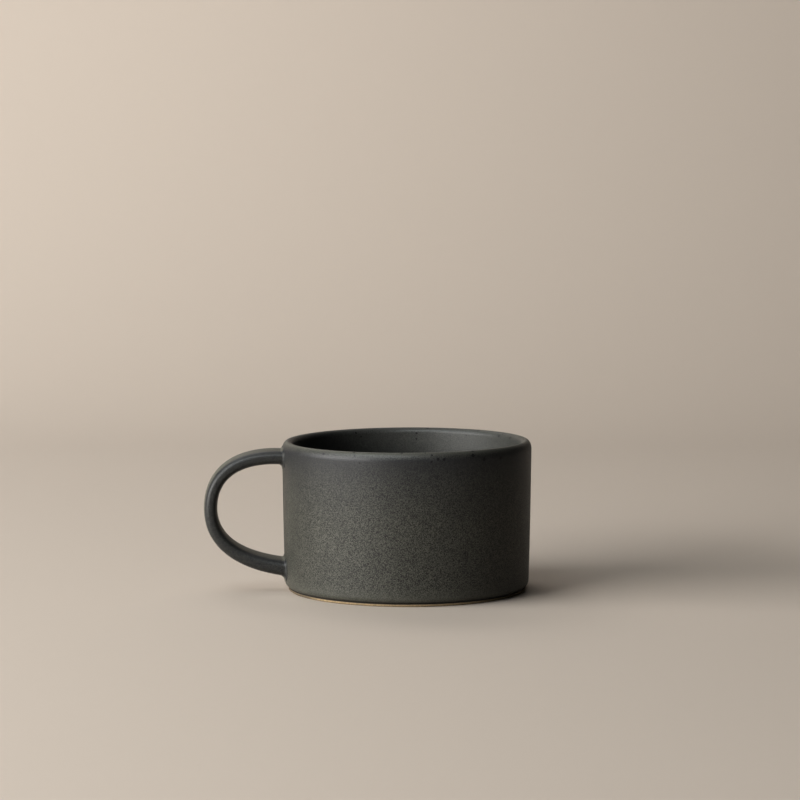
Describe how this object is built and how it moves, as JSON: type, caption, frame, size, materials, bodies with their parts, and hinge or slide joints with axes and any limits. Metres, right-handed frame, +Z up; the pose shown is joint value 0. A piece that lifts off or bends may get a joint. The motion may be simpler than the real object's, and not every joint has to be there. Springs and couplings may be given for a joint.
{
  "type": "ceramic mug",
  "caption": "Wide, low stoneware mug with a full-round lip, a looped strap handle, dark satin glaze and a bare clay foot.",
  "frame": {"origin": "on the cup's axis, at the plane that the foot ring stands on", "axes": "+Z up along the cup's axis, -X towards the handle, and the XZ plane halves the handle"},
  "size_m": [0.1378, 0.105, 0.0631],
  "materials": {
    "outer_glaze": "satin, finely mottled grey-green glaze on stoneware",
    "liner_glaze": "satin grey-green glaze inside the cup",
    "bare_clay": "unglazed buff stoneware, sanded"
  },
  "bodies": {
    "root": {"cup_wall": "outer_glaze", "cup_floor": "liner_glaze", "foot_ring": "bare_clay", "handle_strap": "outer_glaze", "upper_handle_fillet": "outer_glaze", "lower_handle_fillet": "outer_glaze"}
  },
  "joints": []
}
